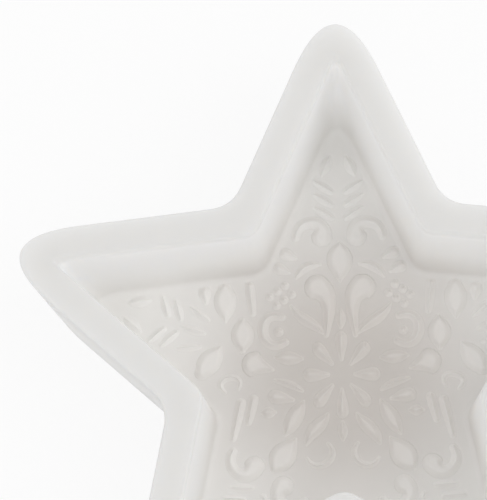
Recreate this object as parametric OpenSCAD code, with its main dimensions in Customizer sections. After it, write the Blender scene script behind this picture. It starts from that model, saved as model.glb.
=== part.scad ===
// Star-shaped tray for a tealight, with a raised ornament on its floor.
// Z is up, the underside lies on z = 0, the star's centre is on the Z axis
// and one point of the star faces +Y. Millimetres.

/* [Star outline] */
// Centre to the sharp corner of a point, before it is rounded
point_r = 83; // [74:0.5:100]
// Centre to the sharp corner between two points
valley_r = 39.3; // [35:0.2:48]
// Length of edge taken up by the rounding of a point
point_blend = 22.6; // [4:0.2:32]
// Length of edge taken up by the rounding between two points
valley_blend = 4.8; // [1:0.2:10]

/* [Tray] */
// Height over all
tray_h = 32; // [16:0.5:60]
// Thickness of the floor
floor_t = 4; // [1.5:0.25:8]
// Width of the flat rim
rim_w = 7.2; // [4:0.2:10]
// How far the inner walls lean in on the way down to the floor
inner_lean = 1.9; // [0.4:0.1:4]
// How far the outer walls lean in on the way down to the base
outer_lean = 2.2; // [0:0.1:5]
// Rounding of the edges of the rim and the base
edge_r = 0.8; // [0.3:0.1:1.8]
// Rounding where the inner walls meet the floor
foot_r = 1.6; // [0.4:0.1:3]
// Length of edge taken up by the rounding of an inner point, at the rim
inner_blend = 3; // [1:0.5:8]
// Length of edge taken up by the rounding of an inner point, at the floor
floor_blend = 10; // [3:0.5:14]

/* [Ornament] */
// Height of the raised ornament above the floor
relief_h = 0.9; // [0.4:0.1:2]
// Bare strip of floor along the foot of the walls
relief_margin = 0.8; // [0.2:0.1:2]
// Radius of the clear floor for which the sizes of the ornament are given
drawn_r = 26.1; // [23.5:0.1:29]
// How much taller than wide the ring of drops is
stretch = 1.16; // [1:0.01:1.3]

/* [Flower] */
// Centre to the inner tip of a drop
drop_r = 3; // [2:0.1:4]
// Length of a drop
drop_len = 5.4; // [3:0.1:6]
// Width of a drop
drop_w = 2.3; // [0.8:0.1:2.6]
// From the ring of drops to the roots of the forks
fork_gap = 1.1; // [0.8:0.1:2]
// From the root of a fork to the head of its bean
bean_len = 11; // [9:0.1:12.4]
// Width of a bean's head
bean_w = 5.6; // [3:0.1:6.2]
// Between the roots of a bean and of the leaf beside it
leaf_gap = 1; // [0.8:0.1:1.6]
// From root to tip of a fork leaf
leaf_len = 9.4; // [7:0.1:10.4]
// Width of a fork leaf
leaf_w = 2.4; // [1:0.1:3]
// From the tip of a fork leaf out to the beads
leaf_clear = 1.2; // [1:0.1:1.6]
// From root to tip of the leaf below the ring of drops
low_leaf_len = 8.4; // [6:0.1:9.4]
// Width of the leaf below the ring of drops
low_leaf_w = 3; // [1.2:0.1:3.4]
// Between a bean's head and the band over it
arc_gap = 1.6; // [1:0.1:2.4]
// Width of the band over a bean
arc_w = 1.8; // [0.6:0.1:2.2]

/* [Sides of the flower] */
// Length of a side leaf
side_leaf_len = 6; // [4:0.1:6.8]
// Width of a side leaf
side_leaf_w = 3; // [1:0.1:3.4]
// From the tip to the head of a side bean
side_bean_len = 4; // [3:0.1:5]
// Length of the thin leaf under a side bean
thin_leaf_len = 6.6; // [4:0.1:7.4]
// Width of the thin leaf under a side bean
thin_leaf_w = 1.5; // [0.6:0.1:1.8]
// Length of a side drop
side_drop_len = 5.4; // [4:0.1:6.2]
// Width of a side drop
side_drop_w = 2.8; // [1:0.1:3.2]
// Length of a petal
petal_len = 8.6; // [5:0.1:9.6]
// Width of a petal
petal_w = 3.6; // [1.2:0.1:4]
// From the roots of the forks out to the middle of a hook
hook_gap = 8; // [7:0.1:8.8]
// Radius of a hook
hook_r = 3.2; // [2.8:0.1:3.6]
// Width of a hook
hook_w = 2; // [0.8:0.1:2.2]
// Width of the seed inside a hook
seed_w = 1.8; // [0.8:0.1:2]
// From the middle of a hook to its seed
seed_off = 0.45; // [0.2:0.05:0.6]
// From the roots of the forks out to the middle of a low curl
curl_gap = 8.9; // [8:0.1:9.8]
// Radius of a low curl
curl_r = 2.9; // [2.2:0.1:3.2]
// Width of a low curl
curl_w = 1.3; // [0.8:0.1:1.8]

/* [Buds] */
// From the head of a bean out to the bud beside it
bud_gap = 1.5; // [1:0.1:3]
// Length of a bud
bud_len = 8.8; // [5:0.1:9.8]
// Width of a bud
bud_w = 5.4; // [2.5:0.1:6]
// From the ring of drops out to an inner bud
inner_bud_gap = 1; // [0.8:0.1:1.8]
// Length of an inner bud
inner_bud_len = 4; // [2:0.1:4.6]
// Width of an inner bud
inner_bud_w = 1.9; // [0.8:0.1:2.2]
// From a hook out to the middle of the side bud
side_bud_gap = 3.1; // [2.8:0.1:3.5]
// Length of a side bud
side_bud_len = 7; // [5:0.1:7.8]
// Width of a side bud
side_bud_w = 4.8; // [2:0.1:5.3]
// Length of a small bud
small_bud_len = 3; // [1.6:0.1:3.4]
// Width of a small bud
small_bud_w = 2.3; // [1:0.1:2.6]
// Along the wall from its corner to a wall bud
wall_bud_at = 10.4; // [9.4:0.1:12]
// Length of a wall bud
wall_bud_len = 7.4; // [4:0.1:8.2]
// Width of a wall bud
wall_bud_w = 4.6; // [2.5:0.1:5.2]
// How much farther from the wall the wall buds below the side points lie
low_wall_bud_in = 2.4; // [2:0.1:2.8]

/* [Along the walls] */
// Along the wall from its corner to a side bar
bar_at = 4.9; // [4:0.1:5.6]
// Length of a side bar
bar_len = 6.4; // [3:0.1:7]
// Width of a side bar
bar_w = 1.7; // [0.8:0.1:2]
// From the low corner of the walls in to the outer low bar
low_bar_gap = 2.9; // [2.6:0.1:3.4]
// Distance between the two low bars
low_bar_pitch = 2.9; // [2.6:0.1:3.2]
// Length of the outer low bar
low_bar_len = 8.4; // [5:0.1:9.4]
// From the low corner of the walls in to the middle of an eye
eye_gap = 1.3; // [0.8:0.1:1.6]
// Radius of an eye
eye_r = 1.9; // [1.4:0.1:2.1]
// Width of an eye's band
eye_w = 1.2; // [0.6:0.1:1.4]
// Radius of a bead
bead_r = 0.8; // [0.4:0.05:0.9]
// From the corner of the walls in to the first row of beads
bead_gap = 2.3; // [1.8:0.1:2.8]
// Distance from bead to bead
bead_pitch = 2.1; // [2:0.1:2.5]
// Distance between the two rows of beads
bead_row = 2.5; // [2:0.1:2.8]
// Along the wall from its corner to the first small drop
wall_drop_at = 3.8; // [3:0.1:4.6]
// Distance from one small drop to the next
wall_drop_pitch = 3.6; // [3:0.1:5]
// Length of a small drop
wall_drop_len = 2.6; // [1.5:0.1:3]
// Width of a small drop
wall_drop_w = 2.2; // [0.8:0.1:2.5]

/* [Points] */
// From the tip of a bud out to the ends of the scrolls
scroll_gap = 1.7; // [1.5:0.1:3]
// Width from end to end of a scroll
scroll_len = 6.6; // [5.6:0.1:7]
// Width of a scroll's head
scroll_w = 4.2; // [2:0.1:4.6]
// How much nearer to the centre the buds and scrolls of the low points are
low_in = 3.5; // [3:0.1:4]
// From a scroll out to the first rib of a spray
spray_gap = 4; // [3.6:0.1:6]
// Distance from rib to rib
spray_pitch = 3; // [2.6:0.1:4]
// Length of a rib
spray_len = 4.4; // [2:0.1:5.4]
// Width of a rib
spray_w = 1.6; // [0.6:0.1:2]
// Along the wall from a wall bud to the three leaves at the root of a side point
side_spray_gap = 1.5; // [1.2:0.1:2]
// Length of the three leaves at the root of a side point
side_spray_len = 5.2; // [3:0.1:5.8]
// From the end of a spray out to the tip leaves
tip_gap = 0.8; // [0.4:0.1:3]
// From the ends of the tip leaves out to the sharp corner of the ornament's field
tip_back = 5; // [4.4:0.1:9]
// Length of a tip leaf
tip_leaf_len = 4.8; // [2:0.1:5.4]
// Width of a tip leaf
tip_leaf_w = 2.2; // [0.8:0.1:2.6]

/* [Hidden] */

tray_color = [0.87, 0.87, 0.86];
relief_color = [0.80, 0.79, 0.77];

// A star has five arms, and half an arm's turn lies between a point and a valley
arms = 5;
arm_turn = 360 / arms;
half_turn = arm_turn / 2;

// All edges of the star lie at one distance from its centre, so moving them in is a scaling
edge_angle = atan2(valley_r * sin(half_turn), point_r - valley_r * cos(half_turn));
edge_d = point_r * sin(edge_angle);

// Steps in the rounding of a point, of a valley and of an edge
point_steps = 10;
valley_steps = 4;
edge_steps = 3;

// Where the floor's flat part ends, measured in from the outline of the rim
floor_inset = rim_w + inner_lean + foot_r;

// The field that may carry ornament, and the scale at which the ornament fills it
field_inset = floor_inset + relief_margin;
field_share = 1 - field_inset / edge_d;
fit = field_share * valley_r / drawn_r;

// Steps along a raised stroke, turns of its round ends, and the half-width under which an end is a tip
stroke_steps = 8;
end_turns = [60 : -30 : -60];
tip_limit = 0.4;
tip_half = 0.2;

// Drops in the ring at the centre
drops = 8;

// How many of their own widths leaves stand beside the middle of an arm, at its root and at its tip
root_leaf_off = 2;
tip_leaf_off = 0.8;

// A place given by its distance from the centre and its angle clockwise from +Y
function polar(r, angle) = r * [sin(angle), cos(angle)];

// Point on a curve with three or with four control points
function bend(p, t) = (1 - t) * (1 - t) * p[0] + 2 * (1 - t) * t * p[1] + t * t * p[2];
function curve(p, t) = (1 - t) * bend([p[0], p[1], p[2]], t) + t * bend([p[1], p[2], p[3]], t);
function heading(p, t) =
    let (d = bend([p[1] - p[0], p[2] - p[1], p[3] - p[2]], t)) d / norm(d);

// A corner rounded over a length of each of its two edges
function rounded(before, corner, after, blend, steps) =
    let (a = corner + blend * (before - corner) / norm(before - corner))
    let (b = corner + blend * (after - corner) / norm(after - corner))
    [for (i = [0 : steps]) bend([a, corner, b], i / steps)];

// Outline of the star with all its edges moved in, clockwise from the +Y point
function star(inset, at_points, at_valleys) =
    let (k = 1 - inset / edge_d)
    [for (i = [0 : arms - 1])
        let (turn = i * arm_turn)
        let (left = polar(k * valley_r, turn - half_turn))
        let (tip = polar(k * point_r, turn))
        let (right = polar(k * valley_r, turn + half_turn))
        let (next = polar(k * point_r, turn + arm_turn))
        each concat(
            rounded(left, tip, right, at_points, point_steps),
            rounded(tip, right, next, at_valleys, valley_steps)
        )];

// Rings of the tray from the base, up the outside, over the rim and down to the floor
edge_turns = [for (i = [0 : edge_steps]) 90 * i / edge_steps];
outer_rings = concat(
    [for (a = edge_turns) [outer_lean + edge_r * (1 - sin(a)), edge_r * (1 - cos(a))]],
    [for (a = edge_turns) [edge_r * (1 - cos(a)), tray_h - edge_r * (1 - sin(a))]]
);
inner_rings = concat(
    [for (a = edge_turns) [rim_w - edge_r * (1 - sin(a)), tray_h - edge_r * (1 - cos(a))]],
    [for (a = edge_turns) [floor_inset - foot_r * cos(a), floor_t + foot_r * (1 - sin(a))]]
);
function lift(outline, z) = [for (p = outline) [p.x, p.y, z]];
function inner_round(z) =
    floor_blend + (inner_blend - floor_blend) * (z - floor_t) / (tray_h - floor_t);
tray_rings = concat(
    [for (r = outer_rings) lift(star(r[0], point_blend, valley_blend), r[1])],
    [for (r = inner_rings) lift(star(r[0], inner_round(r[1]), inner_blend), r[1])]
);
field = star(field_inset, floor_blend, inner_blend);

// Closed skin through a stack of outlines that have the same number of points and go round the Z axis
module loft(rings) {
    count = len(rings[0]);
    last = len(rings) - 1;
    base_centre = len(rings) * count;
    top_centre = base_centre + 1;
    points = concat([for (r = rings) each r], [[0, 0, rings[0][0].z], [0, 0, rings[last][0].z]]);
    skin = [for (j = [0 : last - 1], i = [0 : count - 1])
        let (a = j * count + i)
        let (b = j * count + (i + 1) % count)
        each [[a, b, b + count], [a, b + count, a + count]]];
    caps = [for (i = [0 : count - 1])
        let (a = i)
        let (b = (i + 1) % count)
        each [[b, a, base_centre], [last * count + a, last * count + b, top_centre]]];
    polyhedron(points, concat(skin, caps));
}

// Outline of a stroke along a curve, with its half-width given at the same control points
function stroke_side(path, half, t, side) =
    let (d = heading(path, t)) curve(path, t) + side * curve(half, t) * [-d.y, d.x];
function stroke_end(at, d, half) =
    half < tip_limit
        ? [at + half * d]
        : [for (a = end_turns) at + half * (cos(a) * d + sin(a) * [-d.y, d.x])];
function stroke(path, half) = concat(
    [for (i = [0 : stroke_steps]) stroke_side(path, half, i / stroke_steps, 1)],
    stroke_end(path[3], heading(path, 1), half[3]),
    [for (i = [stroke_steps : -1 : 0]) stroke_side(path, half, i / stroke_steps, -1)],
    stroke_end(path[0], -heading(path, 0), half[0])
);

// Half-widths of a leaf, which is pointed at both ends, and of a drop, which ends in a round head
function leaf_half(w) = [tip_half, 0.6 * w, 0.6 * w, tip_half];
function drop_half(w) = w / 2 * [0.2, 0.5, 1.1, 1];

// Paths of strokes: straight along a direction, bent from a root, and round a centre
function straight(at, along, length) = [for (i = [0 : 3]) at + along * length * i / 3];
function bent(root, length, shape) = [for (p = shape) root + length * p];
function round_path(at, r, sweep) =
    let (reach = 4 / 3 * tan((sweep[1] - sweep[0]) / 4) * r)
    [
        at + polar(r, sweep[0]),
        at + polar(r, sweep[0]) + polar(reach, sweep[0] + 90),
        at + polar(r, sweep[1]) - polar(reach, sweep[1] + 90),
        at + polar(r, sweep[1])
    ];

// Outline of a round bead
function disc(at, r) = [for (a = [0 : 30 : 330]) at + polar(r, a)];

// Copies of an outline in the ornament: flipped sideways or upside down, turned clockwise or drawn taller
function flip(outline, side) = [for (p = outline) [side * p.x, p.y]];
function below(outline) = [for (p = outline) [p.x, -p.y]];
function turned(outline, angle) =
    [for (p = outline) [p.x * cos(angle) + p.y * sin(angle), p.y * cos(angle) - p.x * sin(angle)]];
function tall(outline) = [for (p = outline) [p.x, p.y * stretch]];

// An outline raised from the floor, at the ornament's scale and kept inside the field
module raised(outline) {
    translate([0, 0, floor_t])
        linear_extrude(height = relief_h)
            intersection() {
                polygon(fit * outline);
                polygon(field);
            }
}
module left_and_right(outline) {
    for (side = [1, -1])
        raised(flip(outline, side));
}

// Angles of the ornament's places, clockwise from +Y
fork_turn = 20;
leaf_turn = 50;
hook_turn = 54;
side_turn = 67;
side_bean_turn = 85;
eye_turn = 95;
low_bar_turn = 105;
thin_leaf_turn = 112;
side_drop_turn = 117;
petal_turn = 125;
curl_turn = 163;

// Directions in which straight strokes lie, and the sweeps of round ones
side_spray_lie = 20;
rib_lie = 57;
side_drop_lie = 78;
side_leaf_lie = 86;
petal_lie = 151;
low_bar_lie = 167;
bar_lie = 186;
seed_lie = 225;
arc_sweep = [-6, 64];
hook_sweep = [-20, 212];
eye_sweep = [-115, 140];
curl_sweep = [117, 315];

// Rings and places that the motifs share
fork_r = drop_r + drop_len + fork_gap;
fork_root = polar(fork_r, fork_turn);
bean_shape = [[0, 0], [-0.04, 0.4], [-0.16, 0.82], [0.16, 1]];
bean_head = fork_root + bean_len * bean_shape[3];
leaf_root = fork_root + polar(leaf_gap, leaf_turn);
leaf_shape = [[0, 0], [0.25, 0.29], [0.555, 0.333], [0.747, 0.667]];
leaf_tip = leaf_root + leaf_len * leaf_shape[3];
bud_r = bean_head.y + bud_gap;
scroll_r = bud_r + bud_len + scroll_gap;
hook_middle = polar(fork_r + hook_gap, hook_turn);
side_bud_middle = polar(fork_r + hook_gap + hook_r + side_bud_gap, side_turn);

// The scale at which the flower's leaves reach out to the beads along the walls
flower = (drawn_r - bead_gap - bead_row - bead_r - leaf_clear) / norm(leaf_tip);

// Where the points of the ornament's field and the tip leaves end
field_point_r = field_share * point_r / fit;
tip_end_r = field_point_r - tip_back;

// The corner of the field right of the top point, and the walls that run up and out from it
corner = polar(drawn_r, half_turn);
up_wall = ([0, field_point_r] - corner) / norm([0, field_point_r] - corner);
side_wall = (polar(field_point_r, arm_turn) - corner) / norm(polar(field_point_r, arm_turn) - corner);

module star_tray() {
    color(tray_color)
        loft(tray_rings);
}

module centre_drops() {
    path = straight([0, drop_r], [0, 1], drop_len - drop_w / 2);
    color(relief_color)
        for (i = [0 : drops - 1])
            raised(flower * tall(turned(stroke(path, drop_half(drop_w)), i * 360 / drops)));
}

module fork_beans() {
    half = bean_w / 2 * [0.12, 0.4, 0.5, 1];
    side_root = polar(fork_r + side_leaf_len, side_bean_turn);
    color(relief_color) {
        left_and_right(flower * stroke(bent(fork_root, bean_len, bean_shape), half));
        left_and_right(flower * stroke(straight(side_root, polar(1, arm_turn), side_bean_len), half));
    }
}

module fork_leaves() {
    fork = bent(leaf_root, leaf_len, leaf_shape);
    low = bent(fork_root, low_leaf_len, [[0, 0], [0.16, 0.29], [0.47, 0.44], [0.58, 0.81]]);
    side = straight(polar(fork_r, side_turn), polar(1, side_leaf_lie), side_leaf_len);
    thin_shape = [[0, 0], [0.26, 0.2], [0.56, 0.3], [0.92, 0.38]];
    thin = bent(polar(fork_r, thin_leaf_turn), thin_leaf_len, thin_shape);
    drop_root = polar(fork_r + side_drop_w, side_drop_turn);
    side_drop = straight(drop_root, polar(1, side_drop_lie), side_drop_len - side_drop_w / 2);
    petal = straight(polar(fork_r + leaf_gap, petal_turn), polar(1, petal_lie), petal_len);
    color(relief_color) {
        left_and_right(flower * stroke(fork, leaf_half(leaf_w)));
        left_and_right(flower * below(stroke(low, leaf_half(low_leaf_w))));
        left_and_right(flower * stroke(side, leaf_half(side_leaf_w)));
        left_and_right(flower * stroke(thin, leaf_half(thin_leaf_w)));
        left_and_right(flower * stroke(side_drop, drop_half(side_drop_w)));
        left_and_right(flower * stroke(petal, leaf_half(petal_w)));
    }
}

// Arms are counted clockwise from +Y. Those beside the top one have wall buds in place of a long bud
// and scrolls, and the low ones have theirs nearer to the centre.
side_arms = [1, 4];
bud_arms = [[0, 0], [2, low_in], [3, low_in]];

// The image of an outline on the other side of the right side arm
function across_arm(outline) = turned(flip(turned(outline, -arm_turn), -1), arm_turn);

module oval_buds() {
    inner = straight([0, stretch * (drop_r + drop_len) + inner_bud_gap], [0, 1], inner_bud_len);
    side = straight(side_bud_middle - [0, side_bud_len / 2], [0, 1], side_bud_len);
    small_middle = polar(fork_r + curl_gap, side_drop_turn);
    small = straight(small_middle - [small_bud_len / 2, 0], [1, 0], small_bud_len);
    wall = straight(corner + wall_bud_at * side_wall, [0, -1], wall_bud_len);
    low_wall = [for (p = wall) p - [0, low_wall_bud_in]];
    wall_half = wall_bud_w * [0.3, 0.68, 0.5, 0.04];
    color(relief_color) {
        for (place = bud_arms) {
            long = straight([0, bud_r - place[1]], [0, 1], bud_len);
            bud = stroke(long, bud_w * [0.04, 0.5, 0.78, 0.04]);
            raised(flower * turned(bud, place[0] * arm_turn));
        }
        raised(flower * stroke(inner, leaf_half(inner_bud_w)));
        raised(flower * below(stroke(inner, leaf_half(inner_bud_w))));
        left_and_right(flower * stroke(side, side_bud_w * [0.1, 0.62, 0.62, 0.1]));
        left_and_right(flower * stroke(small, leaf_half(small_bud_w)));
        left_and_right(stroke(wall, wall_half));
        left_and_right(across_arm(stroke(low_wall, wall_half)));
    }
}

module bean_arcs() {
    r = bean_w / 2 + arc_gap + arc_w / 2;
    color(relief_color)
        left_and_right(flower * stroke(round_path(bean_head, r, arc_sweep), leaf_half(arc_w)));
}

module hook_curls() {
    seed = hook_middle + polar(seed_off, seed_lie);
    hook_half = hook_w / 2 * [0.7, 1.1, 1.1, 0.7];
    curl_middle = polar(fork_r + curl_gap, curl_turn);
    eye_middle = polar(drawn_r - eye_gap, eye_turn);
    color(relief_color) {
        left_and_right(flower * stroke(round_path(hook_middle, hook_r, hook_sweep), hook_half));
        left_and_right(flower * disc(seed, seed_w / 2));
        left_and_right(flower * stroke(round_path(curl_middle, curl_r, curl_sweep), leaf_half(curl_w)));
        left_and_right(stroke(round_path(eye_middle, eye_r, eye_sweep), leaf_half(eye_w)));
    }
}

module side_bars() {
    half = bar_w / 2 * [1, 1.1, 1, 0.6];
    path = straight(corner + bar_at * side_wall, polar(1, bar_lie), bar_len);
    color(relief_color) {
        left_and_right(stroke(path, half));
        for (i = [0, 1]) {
            root = polar(drawn_r - low_bar_gap - i * low_bar_pitch, low_bar_turn);
            low = straight(root, polar(1, low_bar_lie), low_bar_len - i * low_bar_pitch);
            left_and_right(stroke(low, half));
        }
    }
}

module seed_beads() {
    along = polar(bead_pitch, half_turn + 90);
    color(relief_color)
        for (row = [0, 1], i = [-1 : 1])
            left_and_right(disc(polar(drawn_r - bead_gap - row * bead_row, half_turn) + i * along, bead_r));
}

module wall_drops() {
    inward = [-up_wall.y, up_wall.x];
    side_inward = [side_wall.y, -side_wall.x];
    half = wall_drop_w / 2 * [1, 1.2, 0.7, 0.3];
    color(relief_color) {
        for (i = [0, 1]) {
            root = corner + (wall_drop_at + i * wall_drop_pitch) * up_wall;
            left_and_right(stroke(straight(root, inward, wall_drop_len), half));
        }
        outer_root = corner + (wall_bud_at + wall_bud_w) * side_wall;
        left_and_right(stroke(straight(outer_root, side_inward, wall_drop_len), half));
    }
}

module arm_scrolls() {
    shape = [[0.59, -0.05], [0.4, 0.6], [1.4, 0.66], [1.47, -0.06]];
    half = scroll_w / 2 * [1, 0.45, 0.6, 0.35];
    color(relief_color)
        for (place = bud_arms, side = [1, -1]) {
            path = bent([0, scroll_r - place[1]], scroll_len, shape);
            raised(flower * turned(flip(stroke(path, half), side), place[0] * arm_turn));
        }
}

// Ribs fill an arm from its scrolls, or from the leaves at its root, to its tip leaves
module spray(arm, first_r) {
    along = polar(1, rib_lie);
    half = spray_w / 2 * [0.6, 1.1, 1.1, 0.4];
    last_r = tip_end_r - tip_leaf_len - tip_gap - spray_len * along.y;
    for (r = [first_r : spray_pitch : last_r], side = [1, -1])
        raised(turned(flip(stroke(straight([spray_w, r], along, spray_len), half), side), arm * arm_turn));
}
module side_spray(arm) {
    root_r = drawn_r * cos(half_turn) + (wall_bud_at + side_spray_gap) * cos(edge_angle);
    middle = straight([0, root_r], [0, 1], side_spray_len);
    raised(turned(stroke(middle, leaf_half(spray_w)), arm * arm_turn));
    for (side = [1, -1]) {
        outer = straight([root_leaf_off * spray_w, root_r], polar(1, side_spray_lie), side_spray_len);
        raised(turned(flip(stroke(outer, leaf_half(spray_w)), side), arm * arm_turn));
    }
    spray(arm, root_r + side_spray_len + tip_gap);
}
module arm_sprays() {
    color(relief_color) {
        for (place = bud_arms)
            spray(place[0], flower * (scroll_r - place[1] + spray_gap));
        for (arm = side_arms)
            side_spray(arm);
    }
}

module tip_leaves() {
    path = straight([tip_leaf_off * tip_leaf_w, tip_end_r], polar(1, 180 - edge_angle), tip_leaf_len);
    color(relief_color)
        for (arm = [0 : arms - 1], side = [1, -1])
            raised(turned(flip(stroke(path, leaf_half(tip_leaf_w)), side), arm * arm_turn));
}

star_tray();
centre_drops();
fork_beans();
fork_leaves();
oval_buds();
bean_arcs();
hook_curls();
side_bars();
seed_beads();
wall_drops();
arm_scrolls();
arm_sprays();
tip_leaves();
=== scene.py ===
"""Star-shaped tealight tray in milky silicone, with a raised ornament moulded on its floor."""

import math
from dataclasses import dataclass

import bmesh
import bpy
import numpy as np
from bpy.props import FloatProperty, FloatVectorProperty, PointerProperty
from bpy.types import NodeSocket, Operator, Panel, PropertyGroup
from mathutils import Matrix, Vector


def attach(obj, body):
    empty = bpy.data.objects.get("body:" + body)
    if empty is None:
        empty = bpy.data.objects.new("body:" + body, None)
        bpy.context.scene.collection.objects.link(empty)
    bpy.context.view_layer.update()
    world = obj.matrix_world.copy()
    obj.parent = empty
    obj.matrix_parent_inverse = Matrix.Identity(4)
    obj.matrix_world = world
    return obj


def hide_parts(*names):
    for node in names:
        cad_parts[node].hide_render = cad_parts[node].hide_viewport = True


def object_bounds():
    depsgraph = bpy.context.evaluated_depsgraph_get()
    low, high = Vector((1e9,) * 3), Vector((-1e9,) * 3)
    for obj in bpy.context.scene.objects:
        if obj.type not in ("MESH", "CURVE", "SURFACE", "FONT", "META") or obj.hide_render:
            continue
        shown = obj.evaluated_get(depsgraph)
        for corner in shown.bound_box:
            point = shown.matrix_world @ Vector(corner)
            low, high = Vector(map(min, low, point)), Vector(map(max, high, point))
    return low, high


bl_info = {
    "name": "Star Tealight Tray",
    "version": (1, 0, 0),
    "blender": (4, 5, 0),
    "location": "View3D > Sidebar > Star Tray",
    "description": "Builds a soft star tray with its raised floor ornament and a plain studio stage",
    "category": "Add Mesh",
}

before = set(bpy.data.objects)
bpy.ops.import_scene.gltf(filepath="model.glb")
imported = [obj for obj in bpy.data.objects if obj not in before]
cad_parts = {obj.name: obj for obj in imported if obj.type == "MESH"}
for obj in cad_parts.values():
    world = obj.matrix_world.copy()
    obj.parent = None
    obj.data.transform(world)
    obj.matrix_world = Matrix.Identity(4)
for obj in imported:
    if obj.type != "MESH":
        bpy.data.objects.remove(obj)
CAD_LOW, CAD_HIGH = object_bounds()
BODY = "root"

MM = 0.001
ARMS = 5
ARM_TURN = 360 / ARMS
HALF_TURN = ARM_TURN / 2
UP = (0, 1)
DOWN = (0, -1)
RIGHT = (1, 0)


def length(label, size, about):
    """A size in metres, given in millimetres."""
    return FloatProperty(name=label, description=about, default=size * MM, precision=5, unit="LENGTH")


def share(label, value, about):
    """A plain factor."""
    return FloatProperty(name=label, description=about, default=value, min=0, precision=3, subtype="FACTOR")


def paint(label, rgb, about):
    """A linear colour without alpha."""
    return FloatVectorProperty(
        name=label, description=about, default=rgb, size=3, min=0, max=1, subtype="COLOR"
    )


class TraySizes(PropertyGroup):
    """Sizes of the tray"""

    point_r: length("Point", 83, "Centre to the sharp corner of a point, before it is rounded")
    valley_r: length("Valley", 39.3, "Centre to the sharp corner between two points")
    point_blend: length("Point rounding", 22.6, "Length of edge taken up by the rounding of a point")
    valley_blend: length("Valley rounding", 4.8, "Length of edge taken up by the rounding of a valley")
    tray_h: length("Height", CAD_HIGH.z / MM, "Height over all")
    floor_t: length("Floor", 4, "Thickness of the floor")
    rim_w: length("Rim", 7.2, "Width of the flat rim")
    inner_lean: length("Inner lean", 1.9, "How far the inner walls lean in towards the floor")
    outer_lean: length("Outer lean", 2.2, "How far the outer walls lean in towards the base")
    edge_r: length("Edge rounding", 0.8, "Rounding of the edges of the rim and the base")
    foot_r: length("Foot rounding", 1.6, "Rounding where the inner walls meet the floor")
    inner_blend: length("Inner point, top", 3, "Rounding of an inner point at the rim")
    floor_blend: length("Inner point, floor", 10, "Rounding of an inner point at the floor")


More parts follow.
